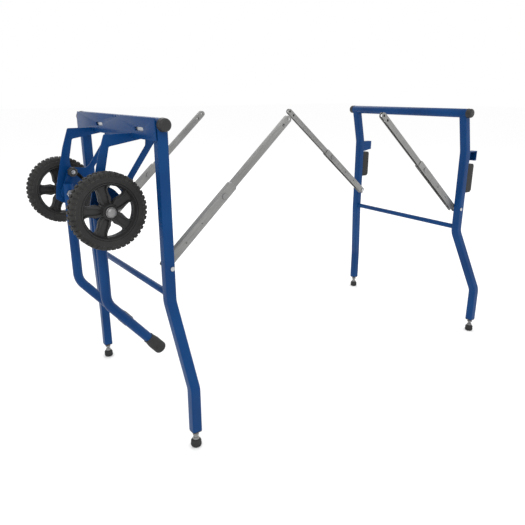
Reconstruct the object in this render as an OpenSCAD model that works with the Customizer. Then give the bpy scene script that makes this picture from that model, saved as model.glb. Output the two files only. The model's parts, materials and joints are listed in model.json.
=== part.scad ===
// Folding leg set for a mitre saw: a wheeled leg frame, a plain leg frame, four folding stays and a
// wheel bracket that bolts to the end of the saw bed.
// +X runs from the wheeled frame to the plain frame, +Y from the front to the rear, +Z up.
// The origin is on the floor, at the middle of the whole set's box.

/* [Stance] */
// Distance between the two top tubes
span = 1075; // [1000:5:1150]
// Height of the top tubes' axis above the floor
tube_z = 770; // [740:5:800]
// Half of a top tube's length, without its end caps
tube_half = 251.5; // [250:0.5:256]
// Outer diameter of the top tubes
tube_d = 28; // [27:0.5:30]

/* [Legs] */
// Side of the square leg tube
leg_w = 25; // [22:1:26]
// Wall of the frame tubes
wall = 1.8; // [1.5:0.1:2.2]
// Half distance between the two legs of a frame at the top
leg_y = 239; // [236:1:239]
// Half distance between the two feet of a frame
foot_y = 294; // [285:1:305]
// Height of the upper bend of the joggle
joggle_top = 372; // [360:2:376]
// Height of the lower bend of the joggle
joggle_bottom = 160; // [140:2:180]
// Inward offset of the wheeled frame's feet
wheel_foot_x = 23; // [15:1:30]
// Outward offset of the plain frame's legs below their top bend
plain_leg_x = 27; // [20:1:32]
// Outward offset of the plain frame's feet
plain_foot_x = 92; // [80:1:100]
// Height of the plain frame's top bend
plain_bend_z = 648; // [640:2:660]
// Height of the crossbars
bar_z = 388; // [386:1:390]
// Diameter of the crossbars
bar_d = 16; // [14:1:18]

/* [Stays] */
// Distance from a top tube to the saw-side hole of its stays
stay_reach = 361; // [350:1:370]
// Height of the stays' pivots on the legs
stay_z = 453; // [448:1:456]
// Outer depth of the lower link
lower_depth = 22; // [21:1:24]
// Outer width of the lower link
lower_width = 16; // [16:0.5:17]
// Spacing of the two holes at the saw end of a stay
hole_step = 21; // [18:1:24]

/* [Wheel bracket] */
// Distance of the wheel axle outward from its top tube
axle_out = 103; // [98:1:108]
// Height of the wheel axle
axle_z = 586; // [580:1:590]
// Radius of the tyres
wheel_r = 87; // [84:1:90]
// Width of the tyres
wheel_w = 38; // [34:1:40]
// Half distance between the wheels' middle planes
wheel_y = 170; // [169:1:173]
// Half distance between the outer faces of the bracket's side plates
plate_y = 130; // [129:0.5:131]
// Thickness of the bracket's sheet steel
sheet = 3; // [2.5:0.25:3.25]

/* [Props] */
// Diameter of the bent prop tubes
prop_d = 25; // [22:1:25]
// Half distance between the prop tubes
prop_y = 105; // [104:0.5:105.5]
// Height of the bend in the prop tubes
prop_bend_z = 347; // [335:1:355]
// Slope of the lower part of the prop tubes, from vertical
prop_slope = 40; // [38:1:44]
// Swing of the props between the two ends of their arc slot
prop_swing = 40; // [35:1:40]

/* [Hidden] */
$fn = 64;
FRONT = -1;
REAR = 1;
WHEEL = 1;
PLAIN = -1;

blue = [0.08, 0.27, 0.57];
zinc = [0.62, 0.63, 0.64];
steel = [0.75, 0.76, 0.78];
black = [0.06, 0.06, 0.065];

gap = 0.3;
fit = 0.05;
tube_r = tube_d / 2;
cap_r = tube_r + 0.7;
cap_len = 17;
leg_corner = 4;
leg_bottom = 46;
leg_bend_r = 60;
bend_steps = 8;
corner_steps = 4;
round_sides = 32;
foot_r = 13.5;
foot_h = 21;
stud_r = 5;
insert_len = 20;
insert_lip = 3;
bar_r = bar_d / 2;

// Places of the two top tubes, set so that the origin is the middle of the whole box
reach_left = axle_out + wheel_r;
reach_right = plain_foot_x + foot_r;
left_x = -span / 2 + (reach_left - reach_right) / 2;
right_x = left_x + span;
axle_x = left_x - axle_out;

function end_x(e) = e == WHEEL ? left_x : right_x;
// Leg offsets from the top tube, measured inward along the set
function mid_in(e) = e == WHEEL ? 0 : -plain_leg_x;
function foot_in(e) = e == WHEEL ? wheel_foot_x : -plain_foot_x;

// Stay geometry, in a plane with the inward distance first and the height second
stay_y = 215;
pivot_r = 4;
sheet_link = 1.8;
upper_depth = 17.6;
upper_width = lower_width - 2 * sheet_link - 2 * gap;
link_overlap = 37;
foot_end = 7;
knuckle_end = 6;
pivot_in = 5;
function stay_foot(e) = [mid_in(e) + pivot_in, stay_z];
stay_top = [stay_reach, tube_z];
function stay_vec(e) = stay_top - stay_foot(e);
function stay_len(e) = norm(stay_vec(e));
function stay_angle(e) = atan2(stay_vec(e)[1], stay_vec(e)[0]);
// The lower link is as long as lets the stay fold flat along the leg
function lower_len(e) =
    (stay_len(e) - (stay_reach - norm([0, tube_z] - stay_foot(e)))) / 2;
function knuckle(e) = stay_foot(e) + lower_len(e) * [cos(stay_angle(e)), sin(stay_angle(e))];

// ---------------------------------------------------------------- shared shapes

// Places a shape made for the wheeled frame at either end, as seen from its top tube's axis
module at_end(e) {
    translate([end_x(e), 0, 0])
        mirror([e == PLAIN ? 1 : 0, 0, 0])
            children();
}

// Places a shape made for the front at either side
module at_side(s) {
    mirror([0, s == REAR ? 1 : 0, 0])
        children();
}

module rounded_square(w, r) {
    square([w, w - 2 * r], center = true);
    square([w - 2 * r, w], center = true);
    for (x = [-1, 1], y = [-1, 1])
        translate([x * (w / 2 - r), y * (w / 2 - r)])
            circle(r);
}

function round_outline(d) = [for (k = [0:round_sides - 1])
    d / 2 * [cos(k * 360 / round_sides), sin(k * 360 / round_sides)]];
function square_outline(w, r) = [for (q = [0:3], k = [0:corner_steps])
    let (a = q * 90 + k * 90 / corner_steps, c = q * 90 + 45)
    (w / 2 - r) * sqrt(2) * [cos(c), sin(c)] + r * [cos(a), sin(a)]];

module ring_section(d, t) {
    difference() {
        circle(d = d);
        circle(d = d - 2 * t);
    }
}

// A 2D outline with its corners rounded by arcs of radius r
function corner_arc(a, b, c, r, n = 6) =
    let (u = (a - b) / norm(a - b), v = (c - b) / norm(c - b),
         half = acos(u * v) / 2, back = r / tan(half),
         centre = b + (u + v) / norm(u + v) * r / sin(half),
         p = b + u * back - centre, q = b + v * back - centre)
    [for (i = [0:n])
        let (t = i / n, m = p * (1 - t) + q * t) centre + m / norm(m) * r];
function rounded(pts, r) = [for (i = [0:len(pts) - 1])
    each corner_arc(pts[(i + len(pts) - 1) % len(pts)], pts[i], pts[(i + 1) % len(pts)], r)];

// Turns vector v about a unit axis by angle a
function spun(v, axis, a) = v * cos(a) + cross(axis, v) * sin(a) + axis * (axis * v) * (1 - cos(a));
function unit(v) = v / norm(v);

// Rings along a bent centreline, each as [centre, sideways, forwards]; pts are its corners, r the
// bend radius, and the last two arguments the section's own axes on the first run
function bend_rings(pts, r, i, u, v) =
    i == len(pts) - 1 ? [[pts[i], u, v]] :
    let (t = unit(pts[i] - pts[i - 1]), t2 = unit(pts[i + 1] - pts[i]),
         a = acos(t * t2), axis = unit(cross(t, t2)), out = cross(axis, t) * r,
         centre = pts[i] - t * r * tan(a / 2) + out)
    concat([for (j = [0:bend_steps]) let (g = a * j / bend_steps)
                [centre - spun(out, axis, g), spun(u, axis, g), spun(v, axis, g)]],
           bend_rings(pts, r, i + 1, spun(u, axis, a), spun(v, axis, a)));

// A hollow tube along a bent centreline: outer and inner are two outlines with as many points
module swept_tube(pts, r, outer, inner, u = [1, 0, 0], v = [0, 1, 0]) {
    rings = concat([[pts[0], u, v]], bend_rings(pts, r, 1, u, v));
    sides = len(outer);
    last = len(rings) - 1;
    skin = [for (outline = [outer, inner], ring = rings, p = outline)
        ring[0] + p[0] * ring[1] + p[1] * ring[2]];
    function at(layer, ring, k) = (layer * (last + 1) + ring) * sides + k % sides;
    function quad(a, b, c, d) = [[a, b, c], [a, c, d]];
    walls = [for (j = [0:last - 1], k = [0:sides - 1])
        each concat(quad(at(0, j, k), at(0, j + 1, k), at(0, j + 1, k + 1), at(0, j, k + 1)),
                    quad(at(1, j, k), at(1, j, k + 1), at(1, j + 1, k + 1), at(1, j + 1, k)))];
    ends = [for (k = [0:sides - 1])
        each concat(quad(at(0, 0, k), at(0, 0, k + 1), at(1, 0, k + 1), at(1, 0, k)),
                    quad(at(0, last, k), at(1, last, k), at(1, last, k + 1), at(0, last, k + 1)))];
    polyhedron(skin, concat(walls, ends));
}

// A straight cylinder along Y, from y0 to y1
module rod(r, y0, y1) {
    translate([0, y0, 0])
        rotate([-90, 0, 0])
            cylinder(r = r, h = y1 - y0);
}

// ---------------------------------------------------------------- leg frames

// Corners of a front leg's centreline, from its foot up to the top tube
function leg_corners(e) = concat(
    [[foot_in(e), -foot_y, leg_bottom], [foot_in(e), -foot_y, joggle_bottom],
     [mid_in(e), -leg_y, joggle_top]],
    e == PLAIN ? [[mid_in(e), -leg_y, plain_bend_z]] : [],
    [[0, -leg_y, tube_z]]);

module leg(e, s) {
    color(blue) at_end(e) at_side(s) difference() {
        swept_tube(leg_corners(e), leg_bend_r, square_outline(leg_w, leg_corner),
                   square_outline(leg_w - 2 * wall, leg_corner - wall));
        translate([0, 0, tube_z])
            rod(tube_r, -tube_half, 0);
        translate([mid_in(e), 0, bar_z])
            rod(bar_r, -leg_y, 0);
        translate([stay_foot(e)[0], 0, stay_z])
            rod(pivot_r, -leg_y - leg_w, 0);
    }
}

module top_tube(e) {
    color(blue) at_end(e) translate([0, -tube_half, tube_z])
        rotate([-90, 0, 0])
            linear_extrude(2 * tube_half) ring_section(tube_d, wall);
}

module tube_caps(e) {
    dome = 5;
    plug = 18;
    color(black) at_end(e) for (s = [FRONT, REAR]) at_side(s)
        translate([0, -tube_half, tube_z])
            rotate([90, 0, 0]) {
                cylinder(r = cap_r, h = cap_len - dome);
                translate([0, 0, cap_len - dome])
                    rotate_extrude() intersection() {
                        translate([0, -cap_r])
                            union() {
                                translate([0, cap_r]) square([cap_r - dome, dome]);
                                translate([cap_r - dome, cap_r]) circle(dome);
                            }
                        square([cap_r, dome]);
                    }
                translate([0, 0, -plug]) cylinder(r = tube_r - wall, h = plug);
            }
}

module crossbar(e) {
    color(blue) at_end(e) translate([mid_in(e), -leg_y + leg_w / 2 - wall, bar_z])
        rotate([-90, 0, 0])
            linear_extrude(2 * leg_y - leg_w + 2 * wall) ring_section(bar_d, wall);
}

module leg_inserts(e) {
    inner = leg_w - 2 * wall;
    color(black) at_end(e) for (s = [FRONT, REAR]) at_side(s)
        translate([foot_in(e), -foot_y, leg_bottom]) difference() {
            union() {
                linear_extrude(insert_len) rounded_square(inner, leg_corner - wall);
                translate([0, 0, -insert_lip])
                    linear_extrude(insert_lip) rounded_square(leg_w - 1, leg_corner);
            }
            translate([0, 0, -insert_lip - 1])
                cylinder(r = stud_r + fit, h = insert_len + insert_lip + 2);
        }
}

module stay_rivets(e) {
    head_r = 5.5;
    head_h = 2;
    outside = -leg_y - leg_w / 2;
    inside = -stay_y + lower_width / 2;
    color(steel) at_end(e) for (s = [FRONT, REAR]) at_side(s)
        translate([stay_foot(e)[0], 0, stay_z]) {
            rod(pivot_r, outside, inside + head_h);
            rod(head_r, outside - head_h, outside);
            rod(head_r, -leg_y + leg_w / 2, -stay_y - lower_width / 2 - gap);
            rod(pivot_r + 2, inside + gap, inside + head_h + gap);
        }
}

module leg_hooks() {
    reach = 42;
    depth = 20;
    top = 646;
    height = 38;
    pocket = height - 6;
    plate = 3;
    cheek = 2.5;
    face = -plain_leg_x - leg_w / 2;
    color(blue) at_end(PLAIN) for (s = [FRONT, REAR]) at_side(s)
        translate([face, -leg_y - depth / 2, top]) rotate([-90, 0, 0])
            difference() {
                union() {
                    linear_extrude(depth)
                        polygon(rounded([[0.5, 0], [0.5, height], [-plate, height],
                            [-plate, plate], [-reach + plate, plate], [-reach + plate, pocket - 4],
                            [-reach + 12, pocket - 4], [-reach + 12, pocket], [-reach, pocket],
                            [-reach, 0]], 0.8));
                    translate([0, 0, depth - cheek]) linear_extrude(cheek)
                        polygon(rounded([[0.5, 0], [0.5, height], [-plate, height],
                            [-reach + 4, pocket], [-reach, pocket], [-reach, 0]], 0.8));
                }
                translate([0, -1, -1])
                    cube([2, height + 2, depth + 2]);
            }
}

module leg_pads() {
    pad_x = 31;
    pad_d = 22;
    top = 604;
    length = 96;
    edge_r = 1.5;
    face = -plain_leg_x - leg_w / 2;
    color(black) at_end(PLAIN) for (s = [FRONT, REAR]) at_side(s)
        translate([face, -leg_y - pad_d / 2, top]) rotate([-90, 0, 0])
            linear_extrude(pad_d)
                polygon(rounded([[0, 0], [0, length], [-pad_x + 6, length], [-pad_x, length - 8],
                    [-pad_x, 6], [-pad_x + 4, 0]], edge_r));
}

// ---------------------------------------------------------------- feet

module foot_stud(e, s) {
    nut_h = 5;
    nut_d = 17;
    hex = 6;
    color(steel) at_end(e) at_side(s) translate([foot_in(e), -foot_y, 0]) {
        translate([0, 0, foot_h - 6])
            cylinder(r = stud_r, h = leg_bottom + insert_len - foot_h);
        translate([0, 0, foot_h + 12])
            cylinder(d = nut_d, h = nut_h, $fn = hex);
        translate([0, 0, foot_h + 0.5])
            cylinder(r1 = 8.5, r2 = 7, h = 5);
    }
}

module foot_pad(e, s) {
    belly = 6;
    socket = 6;
    color(black) at_end(e) at_side(s) translate([foot_in(e), -foot_y, 0]) difference() {
        rotate_extrude() {
            square([foot_r - belly, foot_h]);
            translate([foot_r - belly, belly]) circle(belly);
            translate([foot_r - belly, foot_h - belly]) circle(belly);
            translate([0, belly]) square([foot_r, foot_h - 2 * belly]);
        }
        translate([0, 0, foot_h - socket]) cylinder(r = stud_r, h = 2 * socket);
    }
}

// ---------------------------------------------------------------- folding stays

// A channel along +X from 0 to length, its web on the +Z side, with round ends
module channel(depth, width, length, before, after, web_from) {
    difference() {
        rotate([90, 0, 0]) translate([0, 0, -width / 2]) linear_extrude(width) {
            translate([0, -depth / 2]) square([length, depth]);
            intersection() {
                circle(depth / 2);
                translate([-before, -depth]) square([before, 2 * depth]);
            }
            translate([length, 0]) intersection() {
                circle(depth / 2);
                translate([0, -depth]) square([after, 2 * depth]);
            }
        }
        translate([-depth, -width / 2 + sheet_link, -depth])
            cube([length + 2 * depth, width - 2 * sheet_link, 1.5 * depth - sheet_link]);
        translate([-depth, -width / 2 + sheet_link, -depth])
            cube([depth + web_from, width - 2 * sheet_link, 2 * depth]);
    }
}

module cross_hole(x, r) {
    translate([x, 0, 0]) rod(r, -20, 20);
}

module lower_link(e, s) {
    spare_holes = [70, 130];
    spare_r = 2.5;
    color(zinc) at_end(e) at_side(s) translate([stay_foot(e)[0], -stay_y, stay_foot(e)[1]])
        rotate([0, -stay_angle(e), 0]) difference() {
            channel(lower_depth, lower_width, lower_len(e) + link_overlap - knuckle_end, foot_end,
                    knuckle_end, 16);
            cross_hole(0, pivot_r + fit);
            cross_hole(lower_len(e), pivot_r + fit);
            for (x = spare_holes) cross_hole(x, spare_r);
        }
}

module upper_link(e, s) {
    length = stay_len(e) - lower_len(e);
    color(zinc) at_end(e) at_side(s) translate([knuckle(e)[0], -stay_y, knuckle(e)[1]])
        rotate([0, -stay_angle(e), 0]) difference() {
            channel(upper_depth, upper_width, length, upper_depth / 2, upper_depth / 2, 12);
            cross_hole(0, pivot_r + fit);
            cross_hole(length, pivot_r + 0.2);
            cross_hole(length - hole_step, pivot_r + 0.2);
        }
}

module knuckle_rivet(e, s) {
    head_h = 2.2;
    edge = lower_width / 2;
    color(steel) at_end(e) at_side(s) translate([knuckle(e)[0], -stay_y, knuckle(e)[1]]) {
        rod(pivot_r, -edge - gap, edge + gap);
        rod(pivot_r + 3, -edge - head_h, -edge);
        rod(pivot_r + 3, edge, edge + head_h);
    }
}

// ---------------------------------------------------------------- wheel bracket

web_in = tube_r + 0.6;
web_low = tube_z - 33;
band_top = tube_z - 23;
slot_front = -169;
slot_rear = 76;
lock_r = 55;
lock_angle = 74;
lock_x = lock_r * cos(lock_angle);
lock_z = lock_r * sin(lock_angle);
lock_bolt_r = 4;

module bracket_web() {
    slot_len = 46;
    slot_r = 4.3;
    slot_z = tube_z - 12;
    notch = 25;
    color(blue) at_end(WHEEL) translate([-web_in, 0, 0]) rotate([0, -90, 0])
        linear_extrude(sheet) difference() {
            polygon([[web_low, -tube_half + 2], [web_low, tube_half - 2],
                [tube_z, tube_half - 2], [tube_z + tube_r, tube_half - 10],
                [tube_z + tube_r, -20], [tube_z + tube_r - 5, -22],
                [tube_z + tube_r - 5, -22 - notch / 3], [tube_z + tube_r - 1, -23 - notch / 3],
                [tube_z + tube_r - 1, -27 - notch / 3], [tube_z + tube_r - 5, -28 - notch / 3],
                [tube_z + tube_r - 5, -20 - notch], [tube_z + tube_r, -22 - notch],
                [tube_z + tube_r, -tube_half + 2]]);
            for (y = [slot_front, slot_rear]) translate([slot_z, y]) {
                square([2 * slot_r, slot_len - 2 * slot_r], center = true);
                for (k = [-1, 1]) translate([0, k * (slot_len / 2 - slot_r)]) circle(slot_r);
            }
        }
}

// Side plate outline in the plane of the plate, measured from the top tube's axis
plate_outline = [[-83, -23], [-100, -70], [-126, -167], [-131, -200], [-112, -213], [-88, -208],
    [-40, -178], [-22, -124], [31, -52], [53, -23]];
plate_window = [[-74, -50], [15, -35], [13, -52], [-36, -119], [-47, -126], [-84, -121],
    [-86, -100]];

module bracket_plate(s) {
    eye_r = tube_r + 3.5;
    eye_drop = 24;
    eye_top = tube_r - 8;
    web_clear = 2.6;
    web_slit = 60;
    grip_angle = 25;
    grip_reach = 70;
    grip_r = 3.5;
    slot_w = 2 * lock_bolt_r + 1;
    color(blue) at_end(WHEEL) at_side(s) translate([0, -plate_y + sheet, tube_z])
        rotate([90, 0, 0]) linear_extrude(sheet) difference() {
            union() {
                polygon(rounded(plate_outline, 4));
                circle(eye_r);
                translate([-eye_r, -eye_drop]) square([2 * eye_r, eye_drop]);
            }
            polygon(rounded(plate_window, 5));
            circle(tube_r + gap);
            translate([-2 * eye_r, eye_top]) square([4 * eye_r, eye_r]);
            translate([-web_in - sheet, web_low - tube_z])
                square([sheet + web_clear, web_slit]);
            translate([-axle_out, axle_z - tube_z]) {
                circle(6 + fit);
                arc_slot(lock_r, slot_w, lock_angle - prop_swing, lock_angle);
                rotate(grip_angle) translate([grip_reach, 0]) circle(grip_r);
            }
        }
}

// A slot of width w along an arc of radius r from angle a0 to a1, with round ends
module arc_slot(r, w, a0, a1) {
    steps = 12;
    polygon(concat(
        [for (i = [0:steps]) (r + w / 2) * turned(a0 + (a1 - a0) * i / steps)],
        [for (i = [1:steps - 1]) r * turned(a1) + w / 2 * turned(a1 + i * 180 / steps)],
        [for (i = [0:steps]) (r - w / 2) * turned(a1 - (a1 - a0) * i / steps)],
        [for (i = [1:steps - 1]) r * turned(a0) + w / 2 * turned(a0 + 180 + i * 180 / steps)]));
}
function turned(a) = [cos(a), sin(a)];

axle_r = 6;
bolt_in = prop_y - prop_d / 2 - 1;
cap_y = wheel_y + wheel_w / 2 + 1;

module axle_bolts() {
    head_h = 7;
    head_d = 21;
    hex = 6;
    color(steel) for (s = [FRONT, REAR]) at_side(s) translate([axle_x, 0, axle_z]) {
        rod(axle_r, -cap_y - 2, -bolt_in);
        translate([0, -bolt_in, 0]) rotate([-90, 0, 0]) cylinder(d = head_d, h = head_h, $fn = hex);
    }
}

module axle_spacers() {
    spacer_r = 11;
    wheel_in = wheel_y - wheel_w / 2 - gap;
    lug_out = prop_y + prop_d / 2 + 3 + gap;
    color(zinc) for (s = [FRONT, REAR]) at_side(s) translate([axle_x, 0, axle_z]) {
        difference() {
            rod(spacer_r, -wheel_in, -plate_y);
            rod(axle_r, -wheel_in - 1, -plate_y + 1);
        }
        difference() {
            rod(spacer_r + 2, -plate_y + sheet, -lug_out);
            rod(axle_r, -plate_y, 0);
        }
    }
}

module axle_caps() {
    cap_radius = 12;
    cap_h = 9;
    rim_h = 4;
    sag = 12;
    color(zinc) for (s = [FRONT, REAR]) at_side(s) translate([axle_x, -cap_y, axle_z])
        rotate([90, 0, 0]) difference() {
            rotate_extrude() {
                square([cap_radius, rim_h]);
                intersection() {
                    translate([0, -sag]) circle(cap_h + sag);
                    translate([0, rim_h]) square([cap_radius - 0.5, cap_h - rim_h]);
                }
            }
            translate([0, 0, -1]) cylinder(r = axle_r, h = 3);
        }
}

// ---------------------------------------------------------------- wheels

rim_r = 64;
bush_r = 9;

module wheel_place(s) {
    at_side(s) translate([axle_x, -wheel_y, axle_z]) rotate([90, 0, 0]) children();
}

module wheel_rim(s) {
    spokes = 5;
    hub_r = 19;
    barrel_in = 55;
    disc_h = 12;
    spoke_w = 22;
    spoke_in = 10;
    first_spoke = 31;
    color(black) wheel_place(s) difference() {
        union() {
            translate([0, 0, -wheel_w / 2 + 3]) linear_extrude(wheel_w - 6)
                difference() {
                    circle(rim_r);
                    circle(barrel_in);
                }
            translate([0, 0, -wheel_w / 2]) cylinder(r = hub_r, h = wheel_w);
            for (i = [0:spokes - 1]) rotate(first_spoke + i * 360 / spokes)
                translate([spoke_in, -spoke_w / 2, -disc_h / 2])
                    cube([barrel_in - spoke_in + 2, spoke_w, disc_h]);
        }
        translate([0, 0, -wheel_w]) cylinder(r = bush_r, h = 2 * wheel_w);
    }
}

module tyre(s) {
    shoulder = 5;
    color(black) wheel_place(s) rotate_extrude() difference() {
        union() {
            translate([rim_r - 3, -wheel_w / 2]) square([wheel_r - rim_r + 3 - shoulder, wheel_w]);
            translate([rim_r, -wheel_w / 2 + shoulder])
                square([wheel_r - rim_r, wheel_w - 2 * shoulder]);
            for (k = [-1, 1]) translate([wheel_r - shoulder, k * (wheel_w / 2 - shoulder)])
                circle(shoulder);
        }
        translate([0, -wheel_w / 2 + 3]) square([rim_r, wheel_w - 6]);
    }
}

module wheel_bush(s) {
    color(zinc) wheel_place(s) translate([0, 0, -wheel_w / 2]) difference() {
        cylinder(r = bush_r, h = wheel_w);
        translate([0, 0, -1]) cylinder(r = axle_r + fit, h = wheel_w + 2);
    }
}

// ---------------------------------------------------------------- props

lug_in = prop_y + prop_d / 2 - 1;
lug_t = 4;
tip_x = 129;
prop_top = 24;
prop_bend = [axle_x, prop_bend_z];
prop_run = tip_x / sin(prop_slope);
prop_end = prop_bend + prop_run * [sin(prop_slope), -cos(prop_slope)];

module prop_tube(s) {
    bend_r = 55;
    color(blue) at_side(s) difference() {
        translate([0, -prop_y, 0])
            swept_tube([[prop_end[0], 0, prop_end[1]], [axle_x, 0, prop_bend_z],
                        [axle_x, 0, axle_z + prop_top]], bend_r, round_outline(prop_d),
                       round_outline(prop_d - 2 * wall),
                       [-cos(prop_slope), 0, -sin(prop_slope)], [0, 1, 0]);
        translate([axle_x, 0, axle_z])
            rod(axle_r + fit, -prop_y - prop_d, 0);
    }
}

module prop_lug(s) {
    eye = 16;
    tail = 45;
    color(blue) at_side(s) difference() {
        translate([axle_x, -lug_in, axle_z]) rotate([90, 0, 0])
            linear_extrude(lug_t) difference() {
                union() {
                    circle(eye);
                    translate([lock_x, lock_z]) circle(10);
                    translate([-8, -tail]) square([16, tail]);
                    polygon([[-eye, 0], [eye, 0], [lock_x + 10, lock_z], [lock_x - 10, lock_z]]);
                }
                circle(axle_r + fit);
                translate([lock_x, lock_z]) circle(lock_bolt_r + fit);
            }
        translate([axle_x, -prop_y, axle_z - 2 * tail])
            cylinder(d = prop_d, h = 2 * tail + prop_top);
    }
}

module prop_tip(s) {
    tip_len = 56;
    tip_r = 16.5;
    mouth_r = 14.2;
    overlap = 46;
    round = 7;
    color(black) at_side(s) translate([prop_end[0], -prop_y, prop_end[1]])
        rotate([0, 180 - prop_slope, 0]) difference() {
            translate([0, 0, -overlap]) rotate_extrude() {
                polygon([[0, 0], [mouth_r, 0], [tip_r, 22], [tip_r, tip_len - round],
                    [tip_r - round, tip_len], [0, tip_len]]);
                translate([tip_r - round, tip_len - round]) circle(round);
            }
            translate([0, 0, -overlap - 1]) cylinder(d = prop_d, h = overlap + 1);
        }
}

module lock_place(s) {
    at_side(s) translate([axle_x + lock_x, 0, axle_z + lock_z]) children();
}

module lock_bolt(s) {
    head_h = 4;
    head_r = 9;
    color(steel) lock_place(s) {
        rod(lock_bolt_r, -plate_y - gap, -prop_y + 4);
        rod(head_r, -plate_y - gap - head_h, -plate_y - gap);
    }
}

module lock_knob(s) {
    knob_r = 13;
    knob_h = 18;
    boss_h = 4;
    lobes = 8;
    color(black) lock_place(s) translate([0, -lug_in + gap, 0]) rotate([-90, 0, 0]) difference() {
        union() {
            cylinder(r = 8, h = boss_h);
            translate([0, 0, boss_h]) cylinder(r = knob_r, h = knob_h - boss_h);
        }
        for (i = [0:lobes - 1]) rotate(i * 360 / lobes) translate([knob_r + 2, 0, boss_h - 1])
            cylinder(r = 4, h = knob_h);
        translate([0, 0, -1]) cylinder(r = lock_bolt_r + fit, h = 18);
    }
}

// ---------------------------------------------------------------- drawing

bracket_web();
bracket_plate(FRONT);  // bracket_plate_front
bracket_plate(REAR);  // bracket_plate_rear
axle_bolts();
axle_spacers();
axle_caps();
wheel_rim(FRONT);  // wheel_rim_front
wheel_rim(REAR);  // wheel_rim_rear
tyre(FRONT);  // tyre_front
tyre(REAR);  // tyre_rear
wheel_bush(FRONT);  // wheel_bush_front
wheel_bush(REAR);  // wheel_bush_rear
prop_tube(FRONT);  // prop_tube_front
prop_tube(REAR);  // prop_tube_rear
prop_lug(FRONT);  // prop_lug_front
prop_lug(REAR);  // prop_lug_rear
prop_tip(FRONT);  // prop_tip_front
prop_tip(REAR);  // prop_tip_rear
lock_bolt(FRONT);  // lock_bolt_front
lock_bolt(REAR);  // lock_bolt_rear
lock_knob(FRONT);  // lock_knob_front
lock_knob(REAR);  // lock_knob_rear
top_tube(WHEEL);  // wheel_end_top_tube
leg(WHEEL, FRONT);  // wheel_end_leg_front
leg(WHEEL, REAR);  // wheel_end_leg_rear
crossbar(WHEEL);  // wheel_end_crossbar
tube_caps(WHEEL);  // wheel_end_tube_caps
leg_inserts(WHEEL);  // wheel_end_leg_inserts
stay_rivets(WHEEL);  // wheel_end_stay_rivets
top_tube(PLAIN);  // plain_end_top_tube
leg(PLAIN, FRONT);  // plain_end_leg_front
leg(PLAIN, REAR);  // plain_end_leg_rear
crossbar(PLAIN);  // plain_end_crossbar
tube_caps(PLAIN);  // plain_end_tube_caps
leg_inserts(PLAIN);  // plain_end_leg_inserts
stay_rivets(PLAIN);  // plain_end_stay_rivets
leg_hooks();
leg_pads();
lower_link(WHEEL, FRONT);  // wheel_front_lower_link
lower_link(WHEEL, REAR);  // wheel_rear_lower_link
lower_link(PLAIN, FRONT);  // plain_front_lower_link
lower_link(PLAIN, REAR);  // plain_rear_lower_link
upper_link(WHEEL, FRONT);  // wheel_front_upper_link
upper_link(WHEEL, REAR);  // wheel_rear_upper_link
upper_link(PLAIN, FRONT);  // plain_front_upper_link
upper_link(PLAIN, REAR);  // plain_rear_upper_link
knuckle_rivet(WHEEL, FRONT);  // wheel_front_knuckle_rivet
knuckle_rivet(WHEEL, REAR);  // wheel_rear_knuckle_rivet
knuckle_rivet(PLAIN, FRONT);  // plain_front_knuckle_rivet
knuckle_rivet(PLAIN, REAR);  // plain_rear_knuckle_rivet
foot_stud(WHEEL, FRONT);  // wheel_front_foot_stud
foot_stud(WHEEL, REAR);  // wheel_rear_foot_stud
foot_stud(PLAIN, FRONT);  // plain_front_foot_stud
foot_stud(PLAIN, REAR);  // plain_rear_foot_stud
foot_pad(WHEEL, FRONT);  // wheel_front_foot_pad
foot_pad(WHEEL, REAR);  // wheel_rear_foot_pad
foot_pad(PLAIN, FRONT);  // plain_front_foot_pad
foot_pad(PLAIN, REAR);  // plain_rear_foot_pad
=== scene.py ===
"""Looks of a folding leg and wheel set for a mitre saw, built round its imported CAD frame.

Every length in a dataclass is in millimetres; meshes are made in millimetres and settled in metres.
The frame has +X from the wheeled end to the plain end, +Y from front to rear and +Z up.
"""

import json
import logging
import math
from collections.abc import Iterable, Sequence
from dataclasses import dataclass, field
from enum import Enum

import bmesh
import bpy
from mathutils import Matrix, Vector


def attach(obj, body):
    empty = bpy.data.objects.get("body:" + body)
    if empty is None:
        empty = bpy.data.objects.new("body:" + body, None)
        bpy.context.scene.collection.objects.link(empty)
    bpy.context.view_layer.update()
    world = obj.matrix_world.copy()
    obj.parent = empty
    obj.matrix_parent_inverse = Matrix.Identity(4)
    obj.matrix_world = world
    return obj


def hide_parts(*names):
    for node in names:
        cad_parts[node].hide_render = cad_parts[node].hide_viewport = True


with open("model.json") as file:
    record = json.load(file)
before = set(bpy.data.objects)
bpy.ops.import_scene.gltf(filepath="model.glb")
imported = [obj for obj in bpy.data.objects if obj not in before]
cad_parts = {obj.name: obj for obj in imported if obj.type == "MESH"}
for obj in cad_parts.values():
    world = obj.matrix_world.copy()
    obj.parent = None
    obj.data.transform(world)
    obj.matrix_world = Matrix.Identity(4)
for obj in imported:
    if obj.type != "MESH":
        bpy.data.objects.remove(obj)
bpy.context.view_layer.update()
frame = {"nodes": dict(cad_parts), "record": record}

LOG = logging.getLogger("leg_set")
MM = 0.001
RECORD = frame["record"]
BODY_OF_NODE = {n: b for b, nodes in RECORD["behaviour"]["bodies"].items() for n in nodes}
SLOT_OF_NODE = {s["node"]: s["material_slot"] for s in RECORD["subparts"]}

LEFT_X = -495.25
RIGHT_X = 579.75
AXLE_X = -598.25
AXLE_Z = 586.0
TUBE_Z = 770.0
WHEEL_Y = 170.0
PROP_Y = 105.0
LEG_Y = 239.0
FOOT_Y = 294.0

# Faces that meet under these many degrees are shaded as one
PLAIN_SMOOTH = 35.0
WELD_SMOOTH = 80.0
TREAD_SMOOTH = 28.0

# Clean-up of a CAD mesh before its edges are rounded, in millimetres and degrees
SEAM_GAP = 0.005
FLAT_ANGLE = 0.6
ROUNDED_GAP = 0.002

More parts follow.
